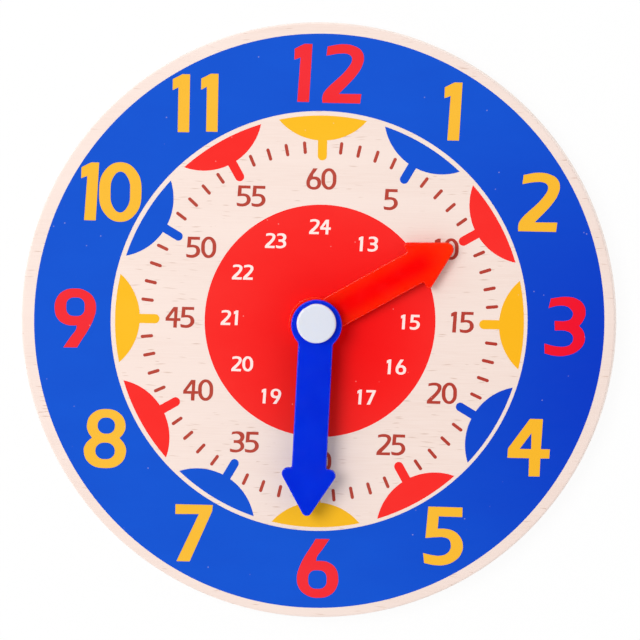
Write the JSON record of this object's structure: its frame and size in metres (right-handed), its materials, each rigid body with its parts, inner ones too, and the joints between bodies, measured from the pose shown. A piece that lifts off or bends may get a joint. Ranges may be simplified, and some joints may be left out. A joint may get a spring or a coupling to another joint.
{
  "type": "teaching clock",
  "caption": "Round plywood teaching clock: printed dial and two arrow hands that turn by hand on a plastic snap rivet.",
  "frame": {"origin": "centre of the back face of the board, on the axis that both hands turn about", "axes": "+Z out of the dial, along the hands' axis; +Y towards twelve on the dial, +X towards three"},
  "size_m": [0.14, 0.14, 0.0122],
  "materials": {
    "face_veneer": "pale beech veneer, sanded, thin clear lacquer",
    "crossband_veneer": "veneer with its grain across, cut edge",
    "core_veneer": "veneer, cut edge",
    "hour_hand_plastic": "moulded, semi-gloss",
    "minute_hand_plastic": "moulded, semi-gloss",
    "rivet_plastic": "moulded, semi-gloss",
    "washer_plastic": "stamped sheet, matt"
  },
  "bodies": {
    "board": {"rear_face_veneer": "face_veneer", "rear_crossband": "crossband_veneer", "core_ply": "core_veneer", "front_crossband": "crossband_veneer", "front_face_veneer": "face_veneer", "rivet_barrel": "rivet_plastic", "dial_washer": "washer_plastic", "hand_washer": "washer_plastic", "rivet_cap": "rivet_plastic"},
    "hour_hand": {"hour_hand": "hour_hand_plastic"},
    "minute_hand": {"minute_hand": "minute_hand_plastic"}
  },
  "joints": [
    {"name": "hour_hand_turn", "type": "hinge", "parent": "board", "child": "hour_hand", "pos_m": [0, 0, 0.0066], "axis": [0, 0, -1], "continuous": true},
    {"name": "minute_hand_turn", "type": "hinge", "parent": "board", "child": "minute_hand", "pos_m": [0, 0, 0.0094], "axis": [0, 0, -1], "continuous": true}
  ]
}
